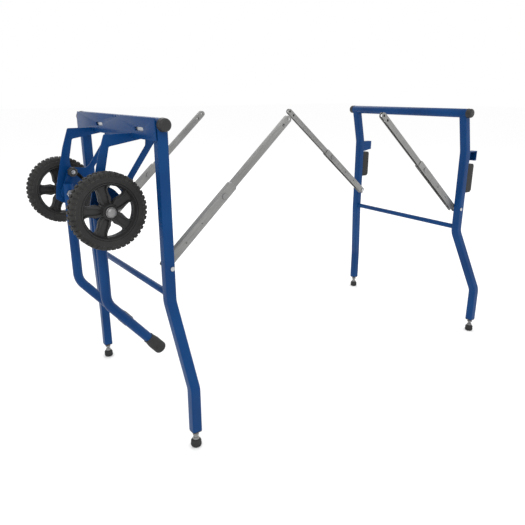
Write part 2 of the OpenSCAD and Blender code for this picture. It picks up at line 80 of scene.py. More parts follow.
# Turns a shape drawn about +Z so that it faces the front, the rear, or along X
FACE_FRONT = Matrix(((1, 0, 0, 0), (0, 0, -1, 0), (0, 1, 0, 0), (0, 0, 0, 1)))
KNOB_TURN = Matrix(((1, 0, 0, 0), (0, 0, 1, 0), (0, -1, 0, 0), (0, 0, 0, 1)))
FACE_X = Matrix(((0, 0, 1, 0), (1, 0, 0, 0), (0, 1, 0, 0), (0, 0, 0, 1)))

Point = tuple[float, float]
Point3 = tuple[float, float, float]
Colour = tuple[float, float, float]


class End(Enum):
    """The two leg frames."""

    WHEEL = "wheel"
    PLAIN = "plain"

    @property
    def x(self) -> float:
        """Place of this end's top tube."""
        return LEFT_X if self is End.WHEEL else RIGHT_X

    @property
    def inward(self) -> int:
        """Which way along X is inward at this end."""
        return 1 if self is End.WHEEL else -1


class Side(Enum):
    """Front and rear of the set."""

    FRONT = "front"
    REAR = "rear"

    @property
    def mirror(self) -> int:
        """1 at the front, where shapes are drawn, and -1 at the rear."""
        return 1 if self is Side.FRONT else -1


def frame_place(end: End, side: Side) -> Matrix:
    """Place of a shape drawn at the front of a leg frame, with x inward from its top tube.

    Args:
        end: The leg frame.
        side: Front or rear.

    Returns:
        The matrix from drawn millimetres to world millimetres.
    """
    return Matrix.Translation((end.x, 0, 0)) @ Matrix.Diagonal((end.inward, side.mirror, 1, 1))


def axle_place(side: Side, out: float) -> Matrix:
    """Place of a shape turned about its own Z on the wheel axle, with +z facing outwards.

    Args:
        side: Front or rear.
        out: Distance of the shape's origin from the middle plane.

    Returns:
        The matrix from drawn millimetres to world millimetres.
    """
    flip = Matrix.Diagonal((1, side.mirror, 1, 1))
    return flip @ Matrix.Translation((AXLE_X, -out, AXLE_Z)) @ FACE_FRONT


# ---------------------------------------------------------------- shader sheets


class Sheet:
    """A node tree that is filled in from left to right."""

    def __init__(self, tree: bpy.types.NodeTree) -> None:
        """Takes an empty node tree."""
        self.tree = tree
        self.column = 0

    def add(self, kind: str, settings: dict | None = None, **inputs: object) -> bpy.types.Node:
        """Adds one node.

        Args:
            kind: The node's type.
            settings: Its properties.
            inputs: Its inputs by name, with _ for spaces; a socket is linked, a value is set.

        Returns:
            The node.
        """
        node = self.tree.nodes.new(kind)
        node.location = (self.column * 180, 0)
        self.column += 1
        for key, value in (settings or {}).items():
            setattr(node, key, value)
        for key, value in inputs.items():
            self.feed(node, key.replace("_", " "), value)
        return node

    def feed(self, node: bpy.types.Node, key: str | int, value: object) -> None:
        """Links a socket to a node's input, or sets the input's value."""
        socket = node.inputs[key]
        if isinstance(value, bpy.types.NodeSocket):
            self.tree.links.new(value, socket)
        else:
            socket.default_value = value

    def math(self, operation: str, a: object, b: object = 0.0, clamp: bool = False) -> object:
        """Adds a Math node on two values and returns its output."""
        node = self.add("ShaderNodeMath", {"operation": operation, "use_clamp": clamp})
        self.feed(node, 0, a)
        self.feed(node, 1, b)
        return node.outputs[0]

    def span(self, value: object, low: float, high: float, to: Point = (0.0, 1.0)) -> object:
        """Adds a Map Range node and returns its output."""
        node = self.add("ShaderNodeMapRange", Value=value)
        for key, number in (("From Min", low), ("From Max", high), ("To Min", to[0]),
                            ("To Max", to[1])):
            self.feed(node, key, number)
        return node.outputs["Result"]

    def mix(self, amount: object, a: object, b: object) -> object:
        """Adds a colour Mix node and returns its colour."""
        node = self.add("ShaderNodeMix", {"data_type": "RGBA"})
        self.feed(node, "Factor", amount)
        for socket, value in ((node.inputs[6], a), (node.inputs[7], b)):
            if isinstance(value, bpy.types.NodeSocket):
                self.tree.links.new(value, socket)
            else:
                socket.default_value = (*value, 1.0)
        return node.outputs[2]


def open_group(name: str, kind: str, inputs: dict[str, tuple], outputs: dict[str, str]) -> tuple:
    """Starts a node group with named inputs and outputs.

    Args:
        name: The group's name.
        kind: ShaderNodeTree or GeometryNodeTree.
        inputs: Socket type and default by name; the default may be None.
        outputs: Socket type by name.

    Returns:
        The sheet, the input node's outputs and the output node.
    """
    tree = bpy.data.node_groups.new(name, kind)
    for label, (socket_type, default) in inputs.items():
        socket = tree.interface.new_socket(name=label, in_out="INPUT", socket_type=socket_type)
        if default is not None:
            socket.default_value = default
    for label, socket_type in outputs.items():
        tree.interface.new_socket(name=label, in_out="OUTPUT", socket_type=socket_type)
    sheet = Sheet(tree)
    return sheet, sheet.add("NodeGroupInput").outputs, sheet.add("NodeGroupOutput")


NUMBER = "NodeSocketFloat"


def grain_group() -> bpy.types.NodeTree:
    """Fine surface grain with slow changes of tone.

    Returns:
        A group with Height and Tone outputs.
    """
    sheet, given, out = open_group(
        "surface_grain", "ShaderNodeTree",
        {"Scale": (NUMBER, 400.0), "Pebble": (NUMBER, 0.5), "Patch Scale": (NUMBER, 9.0)},
        {"Height": NUMBER, "Tone": NUMBER})
    place = sheet.add("ShaderNodeTexCoord").outputs["Object"]
    fine = sheet.add("ShaderNodeTexNoise", Vector=place, Scale=given["Scale"], Detail=3.0)
    cells = sheet.add("ShaderNodeTexVoronoi", {"feature": "SMOOTH_F1"}, Vector=place,
                      Scale=given["Scale"])
    pebble = sheet.math("MULTIPLY", cells.outputs["Distance"], given["Pebble"])
    sheet.feed(out, "Height", sheet.math("ADD", fine.outputs["Fac"], pebble))
    slow = sheet.add("ShaderNodeTexNoise", Vector=place, Scale=given["Patch Scale"], Detail=4.0)
    sheet.feed(out, "Tone", sheet.span(slow.outputs["Fac"], 0.3, 0.7))
    return sheet.tree


def edge_group() -> bpy.types.NodeTree:
    """Mask of the rubbed edges of a shape, broken up by noise.

    Returns:
        A group with a Mask output.
    """
    sheet, given, out = open_group(
        "edge_wear", "ShaderNodeTree",
        {"Radius": (NUMBER, 0.001), "Strength": (NUMBER, 4.0), "Breakup": (NUMBER, 60.0)},
        {"Mask": NUMBER})
    soft = sheet.add("ShaderNodeBevel", {"samples": 4}, Radius=given["Radius"])
    hard = sheet.add("ShaderNodeNewGeometry").outputs["Normal"]
    dot = sheet.add("ShaderNodeVectorMath", {"operation": "DOT_PRODUCT"})
    sheet.feed(dot, 0, soft.outputs["Normal"])
    sheet.feed(dot, 1, hard)
    edge = sheet.math("SUBTRACT", 1.0, dot.outputs["Value"], clamp=True)
    place = sheet.add("ShaderNodeTexCoord").outputs["Object"]
    noise = sheet.add("ShaderNodeTexNoise", Vector=place, Scale=given["Breakup"], Detail=5.0)
    patchy = sheet.span(noise.outputs["Fac"], 0.4, 0.62)
    strong = sheet.math("MULTIPLY", edge, given["Strength"])
    sheet.feed(out, "Mask", sheet.math("MULTIPLY", strong, patchy, clamp=True))
    return sheet.tree


def dust_group() -> bpy.types.NodeTree:
    """Mask of light workshop dust, which lies on faces that look up.

    Returns:
        A group with a Mask output.
    """
    sheet, given, out = open_group(
        "workshop_dust", "ShaderNodeTree",
        {"Amount": (NUMBER, 0.2), "Scale": (NUMBER, 35.0)}, {"Mask": NUMBER})
    normal = sheet.add("ShaderNodeNewGeometry").outputs["Normal"]
    up = sheet.add("ShaderNodeSeparateXYZ", Vector=normal).outputs["Z"]
    lies = sheet.span(up, -0.4, 1.0)
    place = sheet.add("ShaderNodeTexCoord").outputs["Object"]
    noise = sheet.add("ShaderNodeTexNoise", Vector=place, Scale=given["Scale"], Detail=6.0)
    speck = sheet.span(noise.outputs["Fac"], 0.42, 0.75)
    cover = sheet.math("MULTIPLY", lies, speck)
    sheet.feed(out, "Mask", sheet.math("MULTIPLY", cover, given["Amount"], clamp=True))
    return sheet.tree


def streak_group() -> bpy.types.NodeTree:
    """Drawn and brushed streaks along one direction.

    Returns:
        A group with a Value output.
    """
    sheet, given, out = open_group(
        "drawn_streaks", "ShaderNodeTree",
        {"Stretch": ("NodeSocketVector", (30.0, 900.0, 900.0)), "Turn": (NUMBER, 0.0)},
        {"Value": NUMBER})
    place = sheet.add("ShaderNodeTexCoord").outputs["Object"]
    turned = sheet.add("ShaderNodeVectorRotate", {"rotation_type": "Y_AXIS"}, Vector=place,
                       Angle=given["Turn"])
    scaled = sheet.add("ShaderNodeVectorMath", {"operation": "MULTIPLY"})
    sheet.feed(scaled, 0, turned.outputs["Vector"])
    sheet.feed(scaled, 1, given["Stretch"])
    noise = sheet.add("ShaderNodeTexNoise", Vector=scaled.outputs["Vector"], Scale=1.0, Detail=3.0)
    sheet.feed(out, "Value", sheet.span(noise.outputs["Fac"], 0.3, 0.7))
    return sheet.tree


@dataclass(frozen=True)
class ShaderKit:
    """The shared shader groups."""

    grain: bpy.types.NodeTree
    edge: bpy.types.NodeTree
    dust: bpy.types.NodeTree
    streak: bpy.types.NodeTree


@dataclass(frozen=True)
class Finish:
    """A surface finish, shared by every piece made of it."""

    name: str
    deep: Colour
    light: Colour
    rubbed: Colour
    metal: float = 0.0
    rough: Point = (0.35, 0.5)
    grain: float = 500.0
    pebble: float = 0.4
    bump: float = 0.1
    gloss: float = 0.5
    wear: float = 3.0
    wear_radius: float = 0.0012
    dust: float = 0.15
    dust_colour: Colour = (0.42, 0.39, 0.35)
    streaks: bool = False
    turn: float = 0.0

    def make(self, kit: ShaderKit) -> bpy.types.Material:
        """Builds the material.

        Args:
            kit: The shared shader groups.

        Returns:
            The material.
        """
        material = bpy.data.materials.new(self.name)
        material.use_nodes = True
        material.node_tree.nodes.clear()
        sheet = Sheet(material.node_tree)
        grain = sheet.add("ShaderNodeGroup", {"node_tree": kit.grain}, Scale=self.grain,
                          Pebble=self.pebble)
        edge = sheet.add("ShaderNodeGroup", {"node_tree": kit.edge}, Radius=self.wear_radius,
                         Strength=self.wear)
        dust = sheet.add("ShaderNodeGroup", {"node_tree": kit.dust}, Amount=self.dust)
        tone, height = grain.outputs["Tone"], grain.outputs["Height"]
        if self.streaks:
            streak = sheet.add("ShaderNodeGroup", {"node_tree": kit.streak}, Turn=self.turn)
            tone = sheet.math("ADD", sheet.math("MULTIPLY", tone, 0.5),
                              sheet.math("MULTIPLY", streak.outputs["Value"], 0.5))
            height = sheet.math("ADD", height, streak.outputs["Value"])
        colour = sheet.mix(tone, self.deep, self.light)
        colour = sheet.mix(edge.outputs["Mask"], colour, self.rubbed)
        colour = sheet.mix(dust.outputs["Mask"], colour, self.dust_colour)
        rough = sheet.span(tone, 0.0, 1.0, self.rough)
        dulled = sheet.math("MULTIPLY", dust.outputs["Mask"], 0.4)
        rough = sheet.math("ADD", rough, dulled, clamp=True)
        bump = sheet.add("ShaderNodeBump", Height=height, Strength=self.bump, Distance=0.0004)
        shader = sheet.add("ShaderNodeBsdfPrincipled", Base_Color=colour, Roughness=rough,
                           Metallic=self.metal, Specular_IOR_Level=self.gloss,
                           Normal=bump.outputs["Normal"])
        sheet.add("ShaderNodeOutputMaterial", Surface=shader.outputs["BSDF"])
        return material


class Coat(Enum):
    """The finishes on the set."""

    BLUE_POWDER = Finish("blue_powder_coat", (0.0008, 0.030, 0.118), (0.0015, 0.042, 0.152),
                         (0.012, 0.085, 0.27), rough=(0.3, 0.42), grain=420.0, bump=0.16,
                         gloss=0.13, wear=1.5, dust=0.012)
    ZINC = Finish("zinc_plate", (0.15, 0.15, 0.148), (0.31, 0.31, 0.305), (0.5, 0.5, 0.49),
                  metal=0.7, rough=(0.4, 0.58), grain=190.0, pebble=1.2, bump=0.16, wear=3.0,
                  dust=0.06, streaks=True, turn=math.radians(41.0))
    STEEL = Finish("bright_steel", (0.36, 0.37, 0.38), (0.55, 0.56, 0.57), (0.8, 0.8, 0.81),
                   metal=1.0, rough=(0.2, 0.34), grain=900.0, bump=0.05, wear=2.0, dust=0.05)
    CAP_STEEL = Finish("cap_steel", (0.16, 0.16, 0.16), (0.27, 0.27, 0.27), (0.5, 0.5, 0.5),
                       metal=0.8, rough=(0.34, 0.46), grain=700.0, bump=0.08, wear=3.0, dust=0.1)
    PLASTIC = Finish("black_plastic", (0.012, 0.012, 0.013), (0.022, 0.022, 0.023),
                     (0.04, 0.04, 0.04), rough=(0.42, 0.56), grain=900.0, pebble=1.0, bump=0.22,
                     gloss=0.35, wear=2.0, dust=0.02)
    RUBBER = Finish("black_rubber", (0.014, 0.014, 0.015), (0.026, 0.026, 0.027),
                    (0.05, 0.05, 0.05), rough=(0.62, 0.8), grain=600.0, pebble=0.8, bump=0.3,
                    gloss=0.3, wear=2.0, dust=0.03)
    TYRE = Finish("tyre_rubber", (0.013, 0.013, 0.013), (0.026, 0.0255, 0.025),
                  (0.055, 0.054, 0.052), rough=(0.6, 0.78), grain=420.0, pebble=0.6, bump=0.35,
                  gloss=0.25, wear=2.5, wear_radius=0.0014, dust=0.035)


class Palette:
    """Makes each finish's material once."""

    def __init__(self) -> None:
        """Builds the shared groups."""
        self.kit = ShaderKit(grain_group(), edge_group(), dust_group(), streak_group())
        self.made: dict[Coat, bpy.types.Material] = {}

    def __getitem__(self, coat: Coat) -> bpy.types.Material:
        """The material of a finish."""
        if coat not in self.made:
            self.made[coat] = coat.value.make(self.kit)
        return self.made[coat]


# ---------------------------------------------------------------- geometry trees


def grow(mesh: bpy.types.Mesh, tree: bpy.types.NodeTree, **values: object) -> bpy.types.Mesh:
    """Runs a geometry tree on a mesh.

    Args:
        mesh: The tree's geometry input.
        tree: The tree.
        values: Its other inputs by name, with _ for spaces.

    Returns:
        The plain mesh that comes out.
    """
    holder = bpy.data.objects.new("holder", mesh)
    bpy.context.scene.collection.objects.link(holder)
    modifier = holder.modifiers.new("tree", "NODES")
    modifier.node_group = tree
    names = {s.name: s.identifier for s in tree.interface.items_tree if s.in_out == "INPUT"}
    for key, value in values.items():
        modifier[names[key.replace("_", " ")]] = value
    depsgraph = bpy.context.evaluated_depsgraph_get()
    made = bpy.data.meshes.new_from_object(holder.evaluated_get(depsgraph), depsgraph=depsgraph)
    bpy.data.objects.remove(holder)
    return made


SOLID = "NodeSocketGeometry"
COUNT = "NodeSocketInt"


def finish_tree(sheet: Sheet, geometry: object, given: object,
                out: bpy.types.Node) -> bpy.types.NodeTree:
    """Ends a geometry tree in Realize Instances and Set Material and returns the tree."""
    real = sheet.add("GeometryNodeRealizeInstances", Geometry=geometry)
    dressed = sheet.add("GeometryNodeSetMaterial", Geometry=real.outputs[0],
                        Material=given["Material"])
    sheet.feed(out, "Geometry", dressed.outputs[0])
    return sheet.tree


def ring_tree() -> bpy.types.NodeTree:
    """Tree that repeats a shape round the Z axis.

    Returns:
        A tree with Count, Start (degrees) and Material inputs.
    """
    sheet, given, out = open_group(
        "ring_of_copies", "GeometryNodeTree",
        {"Geometry": (SOLID, None), "Count": (COUNT, 8), "Start": (NUMBER, 0.0),
         "Material": ("NodeSocketMaterial", None)}, {"Geometry": SOLID})
    points = sheet.add("GeometryNodeMeshLine", {"mode": "OFFSET"}, Count=given["Count"])
    sheet.feed(points, "Offset", (0.0, 0.0, 0.0))
    step = sheet.math("DIVIDE", 360.0, given["Count"])
    index = sheet.add("GeometryNodeInputIndex").outputs[0]
    degrees = sheet.math("ADD", sheet.math("MULTIPLY", index, step), given["Start"])
    turn = sheet.add("ShaderNodeCombineXYZ", Z=sheet.math("RADIANS", degrees))
    copies = sheet.add("GeometryNodeInstanceOnPoints", Points=points.outputs[0],
                       Instance=given["Geometry"], Rotation=turn.outputs[0])
    return finish_tree(sheet, copies.outputs[0], given, out)


def bent_tube_tree() -> bpy.types.NodeTree:
    """Tree that bends a square or round tube along a line of edges.

    Returns:
        A tree with Width, Corner, Bend and Material inputs, in millimetres.
    """
    sheet, given, out = open_group(
        "bent_tube", "GeometryNodeTree",
        {"Geometry": (SOLID, None), "Width": (NUMBER, 25.0), "Corner": (NUMBER, 4.0),
         "Bend": (NUMBER, 60.0), "Material": ("NodeSocketMaterial", None)}, {"Geometry": SOLID})
    line = sheet.add("GeometryNodeMeshToCurve", Mesh=given["Geometry"])
    bent = sheet.add("GeometryNodeFilletCurve", {"mode": "POLY"}, Curve=line.outputs[0], Count=14,
                     Radius=given["Bend"])
    square = sheet.add("GeometryNodeCurvePrimitiveQuadrilateral", Width=given["Width"],
                       Height=given["Width"])
    section = sheet.add("GeometryNodeFilletCurve", {"mode": "POLY"}, Curve=square.outputs[0],
                        Count=7, Radius=given["Corner"])
    skin = sheet.add("GeometryNodeCurveToMesh", Curve=bent.outputs[0],
                     Profile_Curve=section.outputs[0], Fill_Caps=True)
    merged = sheet.add("GeometryNodeMergeByDistance", Geometry=skin.outputs[0], Distance=0.02)
    return finish_tree(sheet, merged.outputs[0], given, out)


def bead_tree() -> bpy.types.NodeTree:
    """Tree that lays a rippled weld bead along a line of edges.

    Returns:
        A tree with Radius, Ripple, Step and Material inputs, in millimetres.
    """
    sheet, given, out = open_group(
        "weld_bead", "GeometryNodeTree",
        {"Geometry": (SOLID, None), "Radius": (NUMBER, 2.0), "Ripple": (NUMBER, 0.35),
         "Step": (NUMBER, 1.2), "Material": ("NodeSocketMaterial", None)}, {"Geometry": SOLID})
    line = sheet.add("GeometryNodeMeshToCurve", Mesh=given["Geometry"])
    even = sheet.add("GeometryNodeResampleCurve", {"mode": "LENGTH"}, Curve=line.outputs[0],
                     Length=given["Step"])
    ring = sheet.add("GeometryNodeCurvePrimitiveCircle", Resolution=8, Radius=given["Radius"])
    skin = sheet.add("GeometryNodeCurveToMesh", Curve=even.outputs[0],
                     Profile_Curve=ring.outputs[0])
    place = sheet.add("GeometryNodeInputPosition").outputs[0]
    noise = sheet.add("ShaderNodeTexNoise", Vector=place, Scale=0.45, Detail=2.0)
    push = sheet.math("MULTIPLY", sheet.math("SUBTRACT", noise.outputs["Fac"], 0.5),
                      sheet.math("MULTIPLY", given["Ripple"], 4.0))
    normal = sheet.add("GeometryNodeInputNormal").outputs[0]
    offset = sheet.add("ShaderNodeVectorMath", {"operation": "SCALE"}, Scale=push)
    sheet.feed(offset, 0, normal)
    moved = sheet.add("GeometryNodeSetPosition", Geometry=skin.outputs[0],
                      Offset=offset.outputs[0])
    return finish_tree(sheet, moved.outputs[0], given, out)


# ---------------------------------------------------------------- mesh shapes


def polyline(points: Sequence[Sequence[float]], closed: bool = False) -> bpy.types.Mesh:
    """A mesh of edges through the points, in order."""
    mesh = bpy.data.meshes.new("line")
    edges = [(i, i + 1) for i in range(len(points) - 1)]
    if closed:
        edges.append((len(points) - 1, 0))
    mesh.from_pydata([tuple(p) for p in points], edges, [])
    return mesh


def lathe(profile: Sequence[Point], steps: int = 48) -> bpy.types.Mesh:
    """Turns a closed outline about Z.

    Args:
        profile: Corners as (radius, z); points on the axis have radius 0.
        steps: Faces round the shape.

    Returns:
        The closed mesh.
    """
    bm = bmesh.new()
    rows = []
    for radius, z in profile:
        count = 1 if radius < 1e-6 else steps
        rows.append([bm.verts.new((radius * math.cos(2 * math.pi * k / steps),
                                   radius * math.sin(2 * math.pi * k / steps), z))
                     for k in range(count)])
    for i, row in enumerate(rows):
        after = rows[(i + 1) % len(rows)]
        if len(row) == 1 and len(after) == 1:
            continue
        for k in range(steps):
            n = (k + 1) % steps
            corners = [row[k % len(row)], row[n % len(row)], after[n % len(after)],
                       after[k % len(after)]]
            unique = list(dict.fromkeys(corners))
            if len(unique) > 2:
                bm.faces.new(unique)
    return close(bm)


def prism(outline: Sequence[Point], low: float, high: float, bevel: float = 0.0,
          taper: float = 0.0) -> bpy.types.Mesh:
    """Extrudes an outline along Z.

    Args:
        outline: Its corners.
        low: Lower z.
        high: Upper z.
        bevel: Width of the rounding of its edges.
        taper: Share by which the top shrinks about the outline's middle.

    Returns:
        The closed mesh.
    """
    bm = bmesh.new()
    middle = Vector((sum(p[0] for p in outline), sum(p[1] for p in outline))) / len(outline)
    tops = [middle + (Vector(p) - middle) * (1 - taper) for p in outline]
    floor = [bm.verts.new((*p, low)) for p in outline]
    roof = [bm.verts.new((*p, high)) for p in tops]
    bm.faces.new(floor[::-1])
    bm.faces.new(roof)
    for i in range(len(outline)):
        j = (i + 1) % len(outline)
        bm.faces.new((floor[i], floor[j], roof[j], roof[i]))
    if bevel:
        soften(bm, bevel)
    return close(bm)


def soften(bm: bmesh.types.BMesh, width: float, segments: int = 2, angle: float = 32.0) -> None:
    """Rounds the edges sharper than an angle in degrees."""
    bm.normal_update()
    sharp = [e for e in bm.edges
             if len(e.link_faces) == 2 and e.calc_face_angle(0.0) > math.radians(angle)]
    bmesh.ops.bevel(bm, geom=sharp, offset=width, segments=segments, profile=0.6,
                    affect="EDGES", clamp_overlap=True)


def close(bm: bmesh.types.BMesh, merge: float = 1e-4) -> bpy.types.Mesh:
    """Merges doubles, turns the faces outwards and returns the mesh."""
    bmesh.ops.remove_doubles(bm, verts=bm.verts, dist=merge)
    bmesh.ops.recalc_face_normals(bm, faces=bm.faces)
    mesh = bpy.data.meshes.new("shape")
    bm.to_mesh(mesh)
    bm.free()
    return mesh


def moved(mesh: bpy.types.Mesh, matrix: Matrix) -> bpy.types.Mesh:
    """Applies a matrix to a mesh, keeping its faces outwards, and returns it."""
    mesh.transform(matrix)
    if matrix.determinant() < 0:
        mesh.flip_normals()
    return mesh


def merged(meshes: Iterable[bpy.types.Mesh]) -> bpy.types.Mesh:
    """Joins meshes into one."""
    bm = bmesh.new()
    for mesh in meshes:
        bm.from_mesh(mesh)
    out = bpy.data.meshes.new("joined")
    bm.to_mesh(out)
    bm.free()
    return out


def arc(centre: Point, radius: float, start: float, end: float, steps: int = 6) -> list[Point]:
    """Points on an arc, in degrees."""
    return [(centre[0] + radius * math.cos(math.radians(start + (end - start) * i / steps)),
             centre[1] + radius * math.sin(math.radians(start + (end - start) * i / steps)))
            for i in range(steps + 1)]


@dataclass
class Workshop:
    """What every builder shares: materials, geometry trees and the way to add a piece to the scene.
    """

    paint: Palette = field(default_factory=Palette)
    ring: bpy.types.NodeTree = field(default_factory=ring_tree)
    tube: bpy.types.NodeTree = field(default_factory=bent_tube_tree)
    bead: bpy.types.NodeTree = field(default_factory=bead_tree)
    triangles: int = 0

    def piece(self, name: str, mesh: bpy.types.Mesh, coat: Coat, node: str, stands: bool = True,
              smooth: float = PLAIN_SMOOTH) -> bpy.types.Object:
        """Adds a finished mesh to the scene as a piece of the set.

        Args:
            name: The piece's name.
            mesh: Its mesh, in world millimetres.
            coat: Its finish.
            node: The CAD node that it rides with.
            stands: Whether it takes that node's place.
            smooth: Faces that meet under this many degrees are shaded as one.

        Returns:
            The object.
        """
        mesh.transform(Matrix.Diagonal((MM, MM, MM, 1)))
        mesh.materials.clear()
        mesh.materials.append(self.paint[coat])
        mesh.shade_smooth()
        mesh.set_sharp_from_angle(angle=math.radians(smooth))
        obj = bpy.data.objects.new(name, mesh)
        bpy.context.scene.collection.objects.link(obj)
        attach(obj, BODY_OF_NODE[node])
        if stands:
            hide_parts(node)
        SLOT_OF_NODE[node]
        count = sum(len(p.vertices) - 2 for p in mesh.polygons)
        self.triangles += count
        LOG.info("%s: %d triangles on %s", name, count, BODY_OF_NODE[node])
        return obj

    def softened(self, node: str, coat: Coat, bevel: float = 0.5,
                 segments: int = 2) -> bpy.types.Object:
        """Adds a copy of a CAD node, with its edges rounded, to the scene.

        Args:
            node: The node, whose place the copy takes.
            coat: Its finish.
            bevel: Width of the rounding in millimetres.
            segments: Faces across the rounding.

        Returns:
            The object.
        """
        bm = bmesh.new()
        bm.from_mesh(frame["nodes"][node].data)
        bmesh.ops.scale(bm, vec=(1 / MM, 1 / MM, 1 / MM), verts=bm.verts)
        bmesh.ops.remove_doubles(bm, verts=bm.verts, dist=SEAM_GAP)
        bmesh.ops.dissolve_limit(bm, angle_limit=math.radians(FLAT_ANGLE), verts=bm.verts,
                                 edges=bm.edges)
        soften(bm, bevel, segments)
        return self.piece(f"{node}_skin", close(bm, ROUNDED_GAP), coat, node)


# ---------------------------------------------------------------- leg frames


@dataclass
class LegFrame:
    """One folding leg frame: top tube, two bent legs, crossbar and their fittings."""

    end: End
    foot_in: float
    mid_in: float
    leg_w: float = 25.0
    corner: float = 4.0
    bend: float = 60.0
    bottom: float = 46.0
    joggle: Point = (160.0, 372.0)
    plain_bend: float = 648.0
    tube_r: float = 14.0
    tube_half: float = 251.5
    bar_r: float = 8.0
    bar_z: float = 388.0
    cap_lip: float = 0.65
    cap_len: float = 17.0

    def corners(self) -> list[Point3]:
        """Corners of the front leg's centreline, from the foot up."""
        path = [(self.foot_in, -FOOT_Y, self.bottom), (self.foot_in, -FOOT_Y, self.joggle[0]),
                (self.mid_in, -LEG_Y, self.joggle[1])]
        if self.end is End.PLAIN:
            path.append((self.mid_in, -LEG_Y, self.plain_bend))
        return [*path, (0.0, -LEG_Y, TUBE_Z)]

    def legs(self, shop: Workshop) -> None:
        """Bends both legs and welds them to the top tube and the crossbar."""
        for side in Side:
            node = f"{self.end.value}_end_leg_{side.value}"
            leg = grow(polyline(self.corners()), shop.tube, Width=self.leg_w, Corner=self.corner,
                       Bend=self.bend)
            place = frame_place(self.end, side)
            shop.piece(f"{node}_tube", moved(leg, place), Coat.BLUE_POWDER, node)
            beads = merged([self.top_bead(shop), self.bar_bead(shop)])
            shop.piece(f"{node}_welds", moved(beads, place), Coat.BLUE_POWDER, node, stands=False,
                       smooth=WELD_SMOOTH)

    def top_bead(self, shop: Workshop) -> bpy.types.Mesh:
        """The weld where the front leg meets the round top tube."""
        half, r = self.leg_w / 2, self.corner
        slope = 0.0
        if self.end is End.PLAIN:
            slope = self.mid_in / (self.plain_bend - TUBE_Z)
        outline = []
        for centre_x, centre_y, start in ((1, 1, 0), (-1, 1, 90), (-1, -1, 180), (1, -1, 270)):
            outline += arc((centre_x * (half - r), centre_y * (half - r)), r, start, start + 90, 4)
        path = []
        for x, y in outline:
            drop = math.sqrt(self.tube_r ** 2 - min(abs(x), half - 0.1) ** 2)
            path.append((x - slope * drop, -LEG_Y + y, TUBE_Z - drop - 0.3))
        return grow(polyline(path, closed=True), shop.bead, Radius=1.7, Ripple=0.35)

    def bar_bead(self, shop: Workshop) -> bpy.types.Mesh:
        """The weld where the crossbar meets the front leg."""
        ring = arc((0.0, 0.0), self.bar_r + 0.4, 0.0, 345.0, 23)
        face = -LEG_Y + self.leg_w / 2 + 0.2
        path = [(self.mid_in + x, face, self.bar_z + z) for x, z in ring]
        return grow(polyline(path, closed=True), shop.bead, Radius=1.5, Ripple=0.3)

    def caps(self, shop: Workshop) -> None:
        """Turns the two black caps on the top tube's ends, each with a collar and a soft dome."""
        r, length = self.tube_r + self.cap_lip, self.cap_len
        profile = [(0.0, -12.0), (self.tube_r - 2.0, -12.0), (self.tube_r - 2.0, 0.0),
                   (r - 0.4, 0.0), (r, 0.5), (r, 3.0), (r - 0.5, 3.6), (r - 0.5, length - 6.0)]
        profile += arc((r - 6.5, length - 6.0), 6.0, 0.0, 78.0, 8)
        profile += [(4.0, length - 0.1), (0.0, length)]
        shapes = []
        for side in Side:
            place = frame_place(self.end, side) @ Matrix.Translation((0, -self.tube_half, TUBE_Z))
            shapes.append(moved(lathe(profile, 40), place @ FACE_FRONT))
        node = f"{self.end.value}_end_tube_caps"
        shop.piece(f"{node}_domed", merged(shapes), Coat.PLASTIC, node)

    def build(self, shop: Workshop) -> None:
        """Builds and dresses the whole frame."""
        self.legs(shop)
        self.caps(shop)
        for part, coat, bevel in (("top_tube", Coat.BLUE_POWDER, 0.4),
                                  ("crossbar", Coat.BLUE_POWDER, 0.3),
                                  ("leg_inserts", Coat.PLASTIC, 0.6),
                                  ("stay_rivets", Coat.STEEL, 0.7)):
            shop.softened(f"{self.end.value}_end_{part}", coat, bevel)
        if self.end is End.PLAIN:
            shop.softened("leg_hooks", Coat.BLUE_POWDER, 0.7)
            shop.softened("leg_pads", Coat.RUBBER, 1.2, 3)


